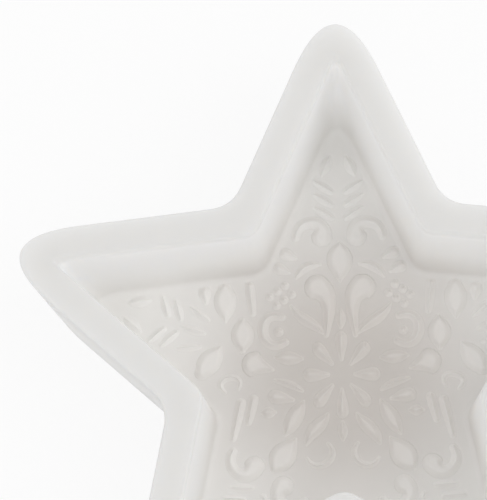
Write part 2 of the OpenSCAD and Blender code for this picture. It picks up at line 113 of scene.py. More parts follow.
class OrnamentSizes(PropertyGroup):
    """Sizes of the raised ornament"""

    relief_h: length("Height", 0.9, "Height of the ornament above the floor")
    shoulder: length("Shoulder", 1.5, "Width over which an ornament rises to its full height")
    skirt: length("Skirt", 0.25, "How far the soft foot of an ornament spreads on the floor")
    relief_margin: length("Margin", 0.8, "Bare strip of floor along the foot of the walls")
    drawn_r: length("Drawn radius", 26.1, "Clear floor for which the sizes of the ornament are given")
    stretch: share("Stretch", 1.16, "How much taller than wide the ring of drops is")
    drop_r: length("Drop ring", 3, "Centre to the inner tip of a drop")
    drop_len: length("Drop length", 5.4, "Length of a drop")
    drop_w: length("Drop width", 2.3, "Width of a drop")
    fork_gap: length("Fork gap", 1.1, "From the ring of drops to the roots of the forks")
    bean_len: length("Bean length", 11, "From the root of a fork to the head of its bean")
    bean_w: length("Bean width", 5.6, "Width of a bean's head")
    leaf_gap: length("Leaf gap", 1, "Between the roots of a bean and of the leaf beside it")
    leaf_len: length("Leaf length", 9.4, "From root to tip of a fork leaf")
    leaf_w: length("Leaf width", 2.4, "Width of a fork leaf")
    leaf_clear: length("Leaf clearance", 1.2, "From the tip of a fork leaf out to the beads")
    low_leaf_len: length("Low leaf length", 8.4, "From root to tip of the leaf below the ring of drops")
    low_leaf_w: length("Low leaf width", 3, "Width of the leaf below the ring of drops")
    arc_gap: length("Band gap", 1.6, "Between a bean's head and the band over it")
    arc_w: length("Band width", 1.8, "Width of the band over a bean")
    side_leaf_len: length("Side leaf length", 6, "Length of a side leaf")
    side_leaf_w: length("Side leaf width", 3, "Width of a side leaf")
    side_bean_len: length("Side bean length", 4, "From the tip to the head of a side bean")
    thin_leaf_len: length("Thin leaf length", 6.6, "Length of the thin leaf under a side bean")
    thin_leaf_w: length("Thin leaf width", 1.5, "Width of the thin leaf under a side bean")
    side_drop_len: length("Side drop length", 5.4, "Length of a side drop")
    side_drop_w: length("Side drop width", 2.8, "Width of a side drop")
    petal_len: length("Petal length", 8.6, "Length of a petal")
    petal_w: length("Petal width", 3.6, "Width of a petal")
    hook_gap: length("Hook gap", 8, "From the roots of the forks out to the middle of a hook")
    hook_r: length("Hook radius", 3.2, "Radius of a hook")
    hook_w: length("Hook width", 2, "Width of a hook")
    seed_w: length("Seed width", 1.8, "Width of the seed inside a hook")
    seed_off: length("Seed place", 0.45, "From the middle of a hook to its seed")
    curl_gap: length("Curl gap", 8.9, "From the roots of the forks out to the middle of a low curl")
    curl_r: length("Curl radius", 2.9, "Radius of a low curl")
    curl_w: length("Curl width", 1.3, "Width of a low curl")
    bud_gap: length("Bud gap", 1.5, "From the head of a bean out to the bud beside it")
    bud_len: length("Bud length", 8.8, "Length of a bud")
    bud_w: length("Bud width", 5.4, "Width of a bud")
    inner_bud_gap: length("Inner bud gap", 1, "From the ring of drops out to an inner bud")
    inner_bud_len: length("Inner bud length", 4, "Length of an inner bud")
    inner_bud_w: length("Inner bud width", 1.9, "Width of an inner bud")
    side_bud_gap: length("Side bud gap", 3.1, "From a hook out to the middle of the side bud")
    side_bud_len: length("Side bud length", 7, "Length of a side bud")
    side_bud_w: length("Side bud width", 4.8, "Width of a side bud")
    small_bud_len: length("Small bud length", 3, "Length of a small bud")
    small_bud_w: length("Small bud width", 2.3, "Width of a small bud")
    wall_bud_at: length("Wall bud place", 10.4, "Along the wall from its corner to a wall bud")
    wall_bud_len: length("Wall bud length", 7.4, "Length of a wall bud")
    wall_bud_w: length("Wall bud width", 4.6, "Width of a wall bud")
    low_wall_bud_in: length("Low wall bud shift", 2.4, "How much farther from the wall the lower ones lie")
    bar_at: length("Bar place", 4.9, "Along the wall from its corner to a side bar")
    bar_len: length("Bar length", 6.4, "Length of a side bar")
    bar_w: length("Bar width", 1.7, "Width of a side bar")
    low_bar_gap: length("Low bar gap", 2.9, "From the low corner of the walls in to the outer low bar")
    low_bar_pitch: length("Low bar pitch", 2.9, "Distance between the two low bars")
    low_bar_len: length("Low bar length", 8.4, "Length of the outer low bar")
    eye_gap: length("Eye gap", 1.3, "From the low corner of the walls in to the middle of an eye")
    eye_r: length("Eye radius", 1.9, "Radius of an eye")
    eye_w: length("Eye width", 1.2, "Width of an eye's band")
    bead_r: length("Bead radius", 0.8, "Radius of a bead")
    bead_gap: length("Bead gap", 2.3, "From the corner of the walls in to the first row of beads")
    bead_pitch: length("Bead pitch", 2.1, "Distance from bead to bead")
    bead_row: length("Bead rows", 2.5, "Distance between the two rows of beads")
    wall_drop_at: length("Small drop place", 3.8, "Along the wall from its corner to the first small drop")
    wall_drop_pitch: length("Small drop pitch", 3.6, "Distance from one small drop to the next")
    wall_drop_len: length("Small drop length", 2.6, "Length of a small drop")
    wall_drop_w: length("Small drop width", 2.2, "Width of a small drop")
    scroll_gap: length("Scroll gap", 1.7, "From the tip of a bud out to the ends of the scrolls")
    scroll_len: length("Scroll length", 6.6, "Width from end to end of a scroll")
    scroll_w: length("Scroll width", 4.2, "Width of a scroll's head")
    low_in: length("Low point shift", 3.5, "How much nearer the low points' buds and scrolls are")
    spray_gap: length("Spray gap", 4, "From a scroll out to the first rib of a spray")
    spray_pitch: length("Rib pitch", 3, "Distance from rib to rib")
    spray_len: length("Rib length", 4.4, "Length of a rib")
    spray_w: length("Rib width", 1.6, "Width of a rib")
    side_spray_gap: length("Root leaf gap", 1.5, "Along the wall from a wall bud to a side point's leaves")
    side_spray_len: length("Root leaf length", 5.2, "Length of the leaves at the root of a side point")
    tip_gap: length("Tip gap", 0.8, "From the end of a spray out to the tip leaves")
    tip_back: length("Tip back", 5, "From the ends of the tip leaves out to the corner of the field")
    tip_leaf_len: length("Tip leaf length", 4.8, "Length of a tip leaf")
    tip_leaf_w: length("Tip leaf width", 2.2, "Width of a tip leaf")


class Finish(PropertyGroup):
    """Colours and surface of the silicone; the tones of the walls, the floor and the ornament hold painted
    light and shade
    """

    rim_colour: paint("Rim", (0.692, 0.688, 0.678), "Colour of the flat rim")
    # Painted light: the outer walls, the base and the inner walls are painted paler than the rim, standing
    # in for light through the silicone and for the shade that they face
    outer_painted_light: paint("Outer walls", (0.85, 0.846, 0.834), "Colour of the outer walls and the base")
    wall_painted_light: paint("Inner walls", (0.955, 0.95, 0.935), "Colour of the inner walls")
    # Painted shade and light: the floor is painted deeper in its middle and paler out in its points,
    # standing in for shade in the hollow and light through the walls
    floor_painted_shade: paint("Floor, middle", (0.615, 0.58, 0.548), "Colour of the thin floor at its centre")
    floor_painted_light: paint("Floor, points", (0.94, 0.93, 0.912), "Colour of the floor in the points")
    # The ornament takes the floor's painted shade and light, and is paler partly as thicker silicone and
    # partly as painted light
    raised_thick_painted_shade: paint("Ornament, middle", (0.69, 0.653, 0.62), "Colour of the ornament round the centre")
    raised_thick_painted_light: paint("Ornament, points", (0.965, 0.956, 0.938), "Colour of the ornament in the points")
    roughness: share("Roughness", 0.48, "Roughness of the satin surface")
    milkiness: share("Milkiness", 1.0, "Share of the light that spreads inside the thick silicone")
    spread: length("Light spread", 20.0, "How far light spreads inside the silicone")
    cloud: share("Cloudiness", 0.02, "How much the tone varies in soft clouds")


# The star


def polar(r, angle):
    """A place given by its distance from the centre and its angle clockwise from +Y."""
    turn = math.radians(angle)
    return r * np.array((math.sin(turn), math.cos(turn)))


def edge_facts(tray):
    """Angle between an edge and its point's axis, and the distance of all edges from the centre."""
    half = math.radians(HALF_TURN)
    across = tray.valley_r * math.sin(half)
    along = tray.point_r - tray.valley_r * math.cos(half)
    angle = math.atan2(across, along)
    return math.degrees(angle), tray.point_r * math.sin(angle)


def blend_corner(before, corner, after, blend, steps):
    """A corner rounded over a length of each of its two edges."""
    a = corner + blend * (before - corner) / np.linalg.norm(before - corner)
    b = corner + blend * (after - corner) / np.linalg.norm(after - corner)
    t = np.linspace(0, 1, steps + 1)[:, None]
    return (1 - t) ** 2 * a + 2 * t * (1 - t) * corner + t**2 * b


POINT_STEPS = 26
VALLEY_STEPS = 12
EDGE_STEPS = 7


def star_outline(tray, inset, at_points, at_valleys):
    """Outline of the star with all its edges moved in, clockwise from the +Y point."""
    k = 1 - inset / edge_facts(tray)[1]
    point, valley = k * tray.point_r, k * tray.valley_r
    corners = []
    for i in range(ARMS):
        corners.append((polar(point, i * ARM_TURN), at_points, POINT_STEPS))
        corners.append((polar(valley, i * ARM_TURN + HALF_TURN), at_valleys, VALLEY_STEPS))
    rounds = []
    for i, (corner, blend, steps) in enumerate(corners):
        before = corners[i - 1][0]
        after = corners[(i + 1) % len(corners)][0]
        rounds.append(blend_corner(before, corner, after, blend, steps))
    outline = []
    for i, arc in enumerate(rounds):
        following = rounds[(i + 1) % len(rounds)]
        t = np.linspace(0, 1, EDGE_STEPS + 1)[1:-1, None]
        outline += [arc, arc[-1] * (1 - t) + following[0] * t]
    return np.concatenate(outline)


ROUND_STEPS = 8
WALL_STEPS = 10
CAP_STEPS = 12


def quarter():
    """Sines and cosines of a quarter turn."""
    turns = np.linspace(0, math.pi / 2, ROUND_STEPS + 1)
    return zip(np.sin(turns), np.cos(turns))


def floor_inset(tray):
    """Where the flat floor begins, measured in from the outline of the rim."""
    return tray.rim_w + tray.inner_lean + tray.foot_r


def tray_rings(tray):
    """Inset, height, point rounding, valley rounding and depth of each ring from base to floor.

    The depth runs from -1 at the base over 0 on the rim to 1 on the floor.
    """
    top = tray.tray_h
    outer = [(tray.outer_lean + tray.edge_r * (1 - s), tray.edge_r * (1 - c)) for s, c in quarter()]
    outer += [(tray.edge_r * (1 - c), top - tray.edge_r * (1 - s)) for s, c in quarter()]
    inner = [(tray.rim_w - tray.edge_r * (1 - s), top - tray.edge_r * (1 - c)) for s, c in quarter()]
    foot = floor_inset(tray)
    inner += [(foot - tray.foot_r * c, tray.floor_t + tray.foot_r * (1 - s)) for s, c in quarter()]
    rings = [(inset, z, tray.point_blend, tray.valley_blend, z / top - 1) for inset, z in filled(outer)]
    for inset, z in filled(inner):
        depth = (top - z) / (top - tray.floor_t)
        at_point = tray.inner_blend + (tray.floor_blend - tray.inner_blend) * depth
        rings.append((inset, z, at_point, tray.inner_blend, depth))
    return rings


def filled(profile):
    """The same profile with its longest stretch, the wall, divided into steps."""
    points = np.array(profile)
    wall = int(np.argmax(np.linalg.norm(np.diff(points, axis=0), axis=1)))
    t = np.linspace(0, 1, WALL_STEPS + 1)[1:-1, None]
    steps = points[wall] * (1 - t) + points[wall + 1] * t
    return [tuple(p) for p in np.concatenate([points[: wall + 1], steps, points[wall + 1 :]])]


def strips(rings, count):
    """Quads between closed rings of points that follow each other."""
    faces = []
    for j in range(rings - 1):
        for i in range(count):
            a, b = j * count + i, j * count + (i + 1) % count
            faces.append((a, b, b + count, a + count))
    return faces


def tray_mesh(tray):
    """Closed skin of the tray, with the depth of each ring as an attribute of its points."""
    rings = [(star_outline(tray, inset, a, b), z, depth) for inset, z, a, b, depth in tray_rings(tray)]
    base, floor = rings[0], rings[-1]
    shrink = np.linspace(0, 1, CAP_STEPS + 1)[1:-1]
    rings = [(base[0] * k, *base[1:]) for k in shrink] + rings
    rings += [(floor[0] * k, *floor[1:]) for k in shrink[::-1]]
    layers = [np.column_stack([outline, np.full(len(outline), z)]) for outline, z, depth in rings]
    points = np.concatenate(layers)
    centres = [(0, 0, base[1]), (0, 0, floor[1])]
    low, high = len(points), len(points) + 1
    count = len(base[0])
    last = (len(layers) - 1) * count
    faces = strips(len(layers), count)
    for i in range(count):
        following = (i + 1) % count
        faces.append((following, i, low))
        faces.append((last + i, last + following, high))
    mesh = bpy.data.meshes.new("star_tray_skin")
    mesh.from_pydata([*points.tolist(), *centres], [], faces)
    depths = np.repeat([depth for outline, z, depth in rings], count).tolist()
    attribute = mesh.attributes.new("depth", "FLOAT", "POINT")
    attribute.data.foreach_set("value", [*depths, base[2], floor[2]])
    return mesh


# Strokes of the ornament


def bezier(points, t):
    """Points, or widths, on a cubic curve."""
    p = np.asarray(points, float)
    t = np.asarray(t)[:, None]
    weights = ((1 - t) ** 3, 3 * t * (1 - t) ** 2, 3 * t**2 * (1 - t), t**3)
    return sum(w * p[i].reshape(1, -1) for i, w in enumerate(weights))


def headings(points, t):
    """Unit directions along a cubic curve."""
    p = np.asarray(points, float)
    t = np.asarray(t)[:, None]
    steps = np.diff(p, axis=0)
    d = (1 - t) ** 2 * steps[0] + 2 * t * (1 - t) * steps[1] + t**2 * steps[2]
    return d / np.linalg.norm(d, axis=1, keepdims=True)


def straight(at, along, size):
    """Path of a straight stroke."""
    return [np.asarray(at) + np.asarray(along) * size * i / 3 for i in range(4)]


def bent(root, size, shape):
    """Path of a bent stroke from its root."""
    return [np.asarray(root) + size * np.asarray(p) for p in shape]


def round_path(at, r, sweep):
    """Path of a stroke round a centre."""
    start, end = sweep
    reach = 4 / 3 * math.tan(math.radians(end - start) / 4) * r
    return [
        at + polar(r, start),
        at + polar(r, start) + polar(reach, start + 90),
        at + polar(r, end) - polar(reach, end + 90),
        at + polar(r, end),
    ]


def below(path):
    """The same path upside down."""
    return [np.array((p[0], -p[1])) for p in path]


def across_arm(path):
    """The same path on the other side of the right side arm."""
    axis = polar(1, ARM_TURN)
    return [2 * p.dot(axis) * axis - p for p in path]


TIP_HALF = 0.2 * MM
LEAF_SHARE = 0.6
DROP_SHARES = (0.1, 0.25, 0.55, 0.5)
BEAD_STUB = 0.02


def leaf_half(w):
    """Half-widths of a stroke that is pointed at both ends."""
    return [TIP_HALF, LEAF_SHARE * w, LEAF_SHARE * w, TIP_HALF]


def shaped(w, shares):
    """Half-widths as shares of a width."""
    return [w * k for k in shares]


def drop_half(w):
    """Half-widths of a stroke that ends in a round head."""
    return shaped(w, DROP_SHARES)


def bead(at, r):
    """Path and half-widths of a round bead, which is a stroke of hardly any length."""
    return straight(at, UP, BEAD_STUB * r), [r] * 4


@dataclass
class Motif:
    """One stroke, and how its copies lie in the ornament. Most lie on its left and on its right."""

    path: list
    half: list
    scale: float = 1.0
    copies: int = 1
    pitch: float = 0.0
    both_sides: bool = False
    turn: float = 0.0
    turns: int = 1
    turn_step: float = 0.0
    left_and_right: bool = True
    below_too: bool = False
    stretch: float = 1.0


STROKE_STEPS = 18
END_STEPS = 7
DOME_RINGS = 7
SINK = 0.3 * MM


def rise(x):
    """Smooth shoulder from 0 to 1 that meets the floor and the top without a crease."""
    x = np.clip(x, 0, 1)
    return x * x * (3 - 2 * x)


def dome_mesh(motif, ornament, floor_z):
    """Closed soft dome along a stroke."""
    t = np.linspace(0, 1, STROKE_STEPS + 1)
    spine = bezier(motif.path, t)
    along = headings(motif.path, t)
    left = np.column_stack([-along[:, 1], along[:, 0]])
    half = bezier(motif.half, t) + ornament.skirt
    turns = np.linspace(math.pi / 2, -math.pi / 2, END_STEPS + 2)[1:-1, None]
    end = half[-1] * (np.cos(turns) * along[-1] + np.sin(turns) * left[-1])
    start = -half[0] * (np.cos(turns) * along[0] + np.sin(turns) * left[0])
    feet = np.concatenate(
        [spine, np.repeat(spine[-1:], END_STEPS, 0), spine[::-1], np.repeat(spine[:1], END_STEPS, 0)]
    )
    reach = np.concatenate([left * half, end, (-left * half)[::-1], start])
    width = np.linalg.norm(reach, axis=1)
    top, base = [], []
    for q in np.linspace(0, 1, DOME_RINGS + 1):
        xy = feet + reach * (1 - q)
        z = floor_z + ornament.relief_h * rise(q * width / ornament.shoulder)
        top.append(np.column_stack([xy, z]))
        base.append(np.column_stack([xy, np.full(len(xy), floor_z - SINK)]))
    layers = base[::-1] + top
    mesh = bpy.data.meshes.new("stroke")
    mesh.from_pydata(np.concatenate(layers).tolist(), [], strips(len(layers), len(feet)))
    tidy(mesh)
    return mesh


MERGE = 0.002 * MM


def tidy(mesh):
    """Merges doubles, drops the empty faces that this leaves and turns all faces outwards."""
    bm = bmesh.new()
    bm.from_mesh(mesh)
    bmesh.ops.remove_doubles(bm, verts=bm.verts, dist=MERGE)
    bmesh.ops.dissolve_degenerate(bm, edges=bm.edges, dist=MERGE)
    bmesh.ops.recalc_face_normals(bm, faces=bm.faces)
    for face in bm.faces:
        face.smooth = True
    bm.to_mesh(mesh)
    bm.free()


# Node tree that lays out the copies of a stroke


def add(tree, kind, *values, settings=None, **inputs):
    """Adds a node, fills its inputs in order or by name, and returns its first output in use."""
    node = tree.nodes.new(kind)
    for field, value in (settings or {}).items():
        setattr(node, field, value)
    entries = zip([entry for entry in node.inputs if entry.enabled], values)
    named = [(node.inputs[name], value) for name, value in inputs.items()]
    for entry, value in [*entries, *named]:
        if isinstance(value, NodeSocket):
            tree.links.new(value, entry)
        else:
            entry.default_value = value
    return next(output for output in node.outputs if output.enabled)


def worked_out(tree, operation, *values, kind="ShaderNodeMath"):
    """Result of a sum on plain values and outputs of the tree."""
    return add(tree, kind, *values, settings={"operation": operation})


def mirrored(tree, geometry, wanted, scale):
    """The geometry, joined with its mirror image where that is wanted."""
    image = add(tree, "GeometryNodeTransform", Geometry=geometry, Scale=scale)
    turned = add(tree, "GeometryNodeFlipFaces", Mesh=image)
    joined = add(tree, "GeometryNodeJoinGeometry", geometry)
    tree.links.new(turned, joined.node.inputs[0])
    choice = {"Switch": wanted, "False": geometry, "True": joined}
    return add(tree, "GeometryNodeSwitch", settings={"input_type": "GEOMETRY"}, **choice)


COPY_INPUTS = (
    ("Stroke", "Geometry", None),
    ("Copies", "Int", 1),
    ("Pitch", "Float", 0.0),
    ("Both sides", "Bool", False),
    ("Turn", "Float", 0.0),
    ("Turns", "Int", 1),
    ("Turn step", "Float", 0.0),
    ("Left and right", "Bool", False),
    ("Below too", "Bool", False),
    ("Scale", "Vector", (1.0, 1.0, 1.0)),
    ("Material", "Material", None),
)
MIRROR_X = (-1, 1, 1)
MIRROR_Y = (1, -1, 1)


def copies_tree():
    """Node tree: a row of strokes, mirrored, turned round the centre, mirrored again and scaled."""
    tree = bpy.data.node_groups.new("ornament_copies", "GeometryNodeTree")
    for name, kind, default in COPY_INPUTS:
        entry = tree.interface.new_socket(name=name, in_out="INPUT", socket_type="NodeSocket" + kind)
        if default is not None:
            entry.default_value = default
    tree.interface.new_socket(name="Ornament", in_out="OUTPUT", socket_type="NodeSocketGeometry")
    given = tree.nodes.new("NodeGroupInput").outputs
    line = {"mode": "OFFSET"}
    step = add(tree, "ShaderNodeCombineXYZ", Y=given["Pitch"])
    row = add(tree, "GeometryNodeMeshLine", settings=line, Count=given["Copies"], Offset=step)
    rows = add(tree, "GeometryNodeInstanceOnPoints", Points=row, Instance=given["Stroke"])
    plain = add(tree, "GeometryNodeRealizeInstances", Geometry=rows)
    sides = mirrored(tree, plain, given["Both sides"], MIRROR_X)
    index = add(tree, "GeometryNodeInputIndex")
    angle = worked_out(tree, "MULTIPLY_ADD", index, given["Turn step"], given["Turn"])
    clockwise = add(tree, "ShaderNodeCombineXYZ", Z=worked_out(tree, "MULTIPLY", angle, -1))
    hub = add(tree, "GeometryNodeMeshLine", settings=line, Count=given["Turns"], Offset=(0, 0, 0))
    ring = add(tree, "GeometryNodeInstanceOnPoints", Points=hub, Instance=sides, Rotation=clockwise)
    turned = add(tree, "GeometryNodeRealizeInstances", Geometry=ring)
    pairs = mirrored(tree, turned, given["Left and right"], MIRROR_X)
    fours = mirrored(tree, pairs, given["Below too"], MIRROR_Y)
    scaled = add(tree, "GeometryNodeTransform", Geometry=fours, Scale=given["Scale"])
    real = add(tree, "GeometryNodeRealizeInstances", Geometry=scaled)
    finished = add(tree, "GeometryNodeSetMaterial", Geometry=real, Material=given["Material"])
    tree.links.new(finished, tree.nodes.new("NodeGroupOutput").inputs[0])
    return tree


def laid_out(context, tree, motif, settings, material):
    """Plain mesh of all copies of one motif."""
    tray, ornament = settings
    mesh = dome_mesh(motif, ornament, tray.floor_t)
    source = bpy.data.objects.new("stroke", mesh)
    context.scene.collection.objects.link(source)
    modifier = source.modifiers.new("copies", "NODES")
    modifier.node_group = tree
    fit = ornament_fit(tray, ornament) * motif.scale
    values = {
        "Copies": motif.copies,
        "Pitch": motif.pitch,
        "Both sides": motif.both_sides,
        "Turn": math.radians(motif.turn),
        "Turns": motif.turns,
        "Turn step": math.radians(motif.turn_step),
        "Left and right": motif.left_and_right,
        "Below too": motif.below_too,
        "Scale": (fit, fit * motif.stretch, 1.0),
        "Material": material,
    }
    names = {s.name: s.identifier for s in tree.interface.items_tree if s.in_out == "INPUT"}
    for name, value in values.items():
        modifier[names[name]] = value
    evaluated = source.evaluated_get(context.evaluated_depsgraph_get())
    result = bpy.data.meshes.new_from_object(evaluated)
    bpy.data.objects.remove(source)
    bpy.data.meshes.remove(mesh)
    return result


# Places of the ornament


DROPS = 8
SIDE_ARM = 1
LOW_ARM = 2

# Angles clockwise from +Y: the places of motifs, and the way that they lie
FORK_TURN = 20
LEAF_TURN = 50
HOOK_TURN = 54
SIDE_TURN = 67
SIDE_BEAN_TURN = 85
EYE_TURN = 95
LOW_BAR_TURN = 105
THIN_LEAF_TURN = 112
SIDE_DROP_TURN = 117
PETAL_TURN = 125
CURL_TURN = 163
SIDE_SPRAY_LIE = 20
RIB_LIE = 57
SIDE_DROP_LIE = 78
SIDE_LEAF_LIE = 86
PETAL_LIE = 151
LOW_BAR_LIE = 167
BAR_LIE = 186
SEED_LIE = 225

# Angles at which round strokes start and end
ARC_SWEEP = (-6, 64)
HOOK_SWEEP = (-20, 212)
EYE_SWEEP = (-115, 140)
CURL_SWEEP = (117, 315)

# Paths of bent strokes from their roots, as shares of their length
BEAN_SHAPE = ((0, 0), (-0.04, 0.4), (-0.16, 0.82), (0.16, 1))
LEAF_SHAPE = ((0, 0), (0.25, 0.29), (0.555, 0.333), (0.747, 0.667))
LOW_LEAF_SHAPE = ((0, 0), (0.16, 0.29), (0.47, 0.44), (0.58, 0.81))
THIN_LEAF_SHAPE = ((0, 0), (0.26, 0.2), (0.56, 0.3), (0.92, 0.38))
SCROLL_SHAPE = ((0.59, -0.05), (0.4, 0.6), (1.4, 0.66), (1.47, -0.06))

# Half-widths along strokes, as shares of their width
BEAN_SHARES = (0.06, 0.2, 0.25, 0.5)
BUD_SHARES = (0.04, 0.5, 0.78, 0.04)
SIDE_BUD_SHARES = (0.1, 0.62, 0.62, 0.1)
WALL_BUD_SHARES = (0.3, 0.68, 0.5, 0.04)
HOOK_SHARES = (0.35, 0.55, 0.55, 0.35)
BAR_SHARES = (0.5, 0.55, 0.5, 0.3)
WALL_DROP_SHARES = (0.5, 0.6, 0.35, 0.15)
SCROLL_SHARES = (0.5, 0.225, 0.3, 0.175)
RIB_SHARES = (0.3, 0.55, 0.55, 0.2)

# How far leaves stand off the axis of a point, as shares of their width
ROOT_LEAF_OFF = 2
TIP_LEAF_OFF = 0.8


def field_share(tray, ornament):
    """Scale of the field that may carry ornament, against the outline of the rim."""
    return 1 - (floor_inset(tray) + ornament.relief_margin) / edge_facts(tray)[1]


def ornament_fit(tray, ornament):
    """Scale at which the ornament fills its field."""
    return field_share(tray, ornament) * tray.valley_r / ornament.drawn_r


class Places:
    """Rings and places that the motifs share"""

    def __init__(self, tray, size):
        self.fork_r = size.drop_r + size.drop_len + size.fork_gap
        self.fork_root = polar(self.fork_r, FORK_TURN)
        self.bean_head = self.fork_root + size.bean_len * np.array(BEAN_SHAPE[3])
        self.leaf_root = self.fork_root + polar(size.leaf_gap, LEAF_TURN)
        leaf_tip = self.leaf_root + size.leaf_len * np.array(LEAF_SHAPE[3])
        band = size.bead_gap + size.bead_row + size.bead_r + size.leaf_clear
        self.flower = (size.drawn_r - band) / np.linalg.norm(leaf_tip)
        self.bud_r = self.bean_head[1] + size.bud_gap
        self.scroll_r = self.bud_r + size.bud_len + size.scroll_gap
        self.hook_middle = polar(self.fork_r + size.hook_gap, HOOK_TURN)
        self.side_bud = polar(self.fork_r + size.hook_gap + size.hook_r + size.side_bud_gap, SIDE_TURN)
        self.point_r = field_share(tray, size) * tray.point_r / ornament_fit(tray, size)
        self.tip_end_r = self.point_r - size.tip_back
        self.corner = polar(size.drawn_r, HALF_TURN)
        self.up_wall = unit(polar(self.point_r, 0) - self.corner)
        self.side_wall = unit(polar(self.point_r, ARM_TURN) - self.corner)
        self.edge_angle = edge_facts(tray)[0]


def unit(v):
    """Direction of a vector."""
    return v / np.linalg.norm(v)


# Finish


# Radii of the floor's painted shade, deepest in the middle, and painted light, palest in the points
MIDDLE_R = 8 * MM
POINTS_R = 48 * MM
FLAT = (1, 1, 0)

# Depths between which a tone of the tray or its milkiness changes; the tones are painted light and shade on
# the outer walls, the inner walls and the floor
OUTER_FADE = (-0.6, 0)
RIM_FADE = (0, 0.09)
FOOT_FADE = (0.12, 0.9)
MILKY_FADE = (0.5, 0.92)

CLOUDS = {"Scale": 70, "Detail": 3, "Roughness": 0.55}
CLOUD_RANGE = (0.3, 0.7)
SATIN = {"Scale": 260, "Detail": 4, "Roughness": 0.6}
SATIN_SWING = 0.08
GRAIN = {"Scale": 1500, "Detail": 2, "Roughness": 0.5}
GRAIN_STRENGTH = 0.12
GRAIN_DEPTH = 0.05 * MM
SILICONE_IOR = 1.41
GLOSS = 0.35
SPREAD_BY_COLOUR = (1.0, 0.95, 0.88)


def ramp(tree, value, given, wanted, kind="LINEAR"):
    """A value carried over from one range to another, held at its ends."""
    limits = dict(zip(("From Min", "From Max", "To Min", "To Max"), (*given, *wanted)))
    return add(tree, "ShaderNodeMapRange", settings={"interpolation_type": kind}, Value=value, **limits)


def blended(tree, factor, *colours):
    """Mix of two colours, each a plain colour or an output of the tree."""
    colours = [c if isinstance(c, NodeSocket) else (*c, 1) for c in colours]
    return add(tree, "ShaderNodeMix", factor, *colours, settings={"data_type": "RGBA"})


def floor_painted_shade_and_clouds(tree, middle, points, cloud):
    """Painted shade and light: colour that is deeper in the middle of the floor and pale out in the points,
    and a tone that varies at random in soft clouds.
    """
    place = add(tree, "ShaderNodeTexCoord").node.outputs["Object"]
    flat = worked_out(tree, "MULTIPLY", place, FLAT, kind="ShaderNodeVectorMath")
    reach = worked_out(tree, "LENGTH", flat, kind="ShaderNodeVectorMath")
    fade = ramp(tree, reach, (MIDDLE_R, POINTS_R), (0, 1), "SMOOTHSTEP")
    colour = blended(tree, fade, middle, points)
    clouds = add(tree, "ShaderNodeTexNoise", Vector=place, **CLOUDS)
    tone = ramp(tree, clouds, CLOUD_RANGE, (1 - cloud, 1 + cloud))
    return worked_out(tree, "SCALE", colour, tone, kind="ShaderNodeVectorMath")


def silicone(name, finish):
    """Milky satin silicone. Returns the material, its tree and its shader for the colour to be added."""
    material = bpy.data.materials.new(name)
    material.use_nodes = True
    tree = material.node_tree
    shader = tree.nodes["Principled BSDF"]
    place = add(tree, "ShaderNodeTexCoord").node.outputs["Object"]
    satin = add(tree, "ShaderNodeTexNoise", Vector=place, **SATIN)
    limits = (finish.roughness - SATIN_SWING, finish.roughness + SATIN_SWING)
    tree.links.new(ramp(tree, satin, (0, 1), limits), shader.inputs["Roughness"])
    grain = add(tree, "ShaderNodeTexNoise", Vector=place, **GRAIN)
    bump = add(tree, "ShaderNodeBump", Height=grain, Strength=GRAIN_STRENGTH, Distance=GRAIN_DEPTH)
    tree.links.new(bump, shader.inputs["Normal"])
    shader.inputs["IOR"].default_value = SILICONE_IOR
    shader.inputs["Specular IOR Level"].default_value = GLOSS
    shader.inputs["Subsurface Radius"].default_value = SPREAD_BY_COLOUR
    shader.inputs["Subsurface Scale"].default_value = finish.spread
    return material, tree, shader


def tray_silicone(finish):
    """Silicone of the tray: milky where it is thick; the outer and inner walls are painted paler than the
    rim, and the floor painted deeper in its middle and paler in its points, as painted light and shade.
    """
    material, tree, shader = silicone("milky_tray", finish)
    depth = add(tree, "ShaderNodeAttribute", settings={"attribute_name": "depth"}).node.outputs["Fac"]
    # Painted light on the outer and inner walls, painted shade and light on the floor
    rim = blended(tree, ramp(tree, depth, OUTER_FADE, (1, 0)), finish.rim_colour, finish.outer_painted_light)
    walls = blended(tree, ramp(tree, depth, RIM_FADE, (0, 1)), rim, finish.wall_painted_light)
    floor = floor_painted_shade_and_clouds(tree, finish.floor_painted_shade, finish.floor_painted_light, finish.cloud)
    colour = blended(tree, ramp(tree, depth, FOOT_FADE, (0, 1)), walls, floor)
    tree.links.new(colour, shader.inputs["Base Color"])
    milky = ramp(tree, worked_out(tree, "ABSOLUTE", depth), MILKY_FADE, (finish.milkiness, 0))
    tree.links.new(milky, shader.inputs["Subsurface Weight"])
    return material


def relief_silicone(finish):
    """Silicone of the ornament: the floor's painted shade and light, paler partly because the ornament is
    thicker and partly as painted light.
    """
    material, tree, shader = silicone("milky_relief", finish)
    # Painted shade and light of the floor, paler on the ornament
    colour = floor_painted_shade_and_clouds(tree, finish.raised_thick_painted_shade, finish.raised_thick_painted_light, finish.cloud)
    tree.links.new(colour, shader.inputs["Base Color"])
    return material


def seat(context, name, mesh, node):
    """Puts a finished piece in the place of its node."""
    piece = bpy.data.objects.new(name, mesh)
    context.scene.collection.objects.link(piece)
    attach(piece, BODY)
    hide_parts(node)


# Operators


class STAR_OT_tray(Operator):
    """The tray itself, one smooth skin with rim, walls and floor"""

    bl_idname = "star_tray.tray"
    bl_label = "Star tray"

    def execute(self, context):
        mesh = tray_mesh(context.scene.star_tray)
        tidy(mesh)
        mesh.materials.append(tray_silicone(context.scene.star_finish))
        seat(context, "tray_body", mesh, "star_tray")
        return {"FINISHED"}


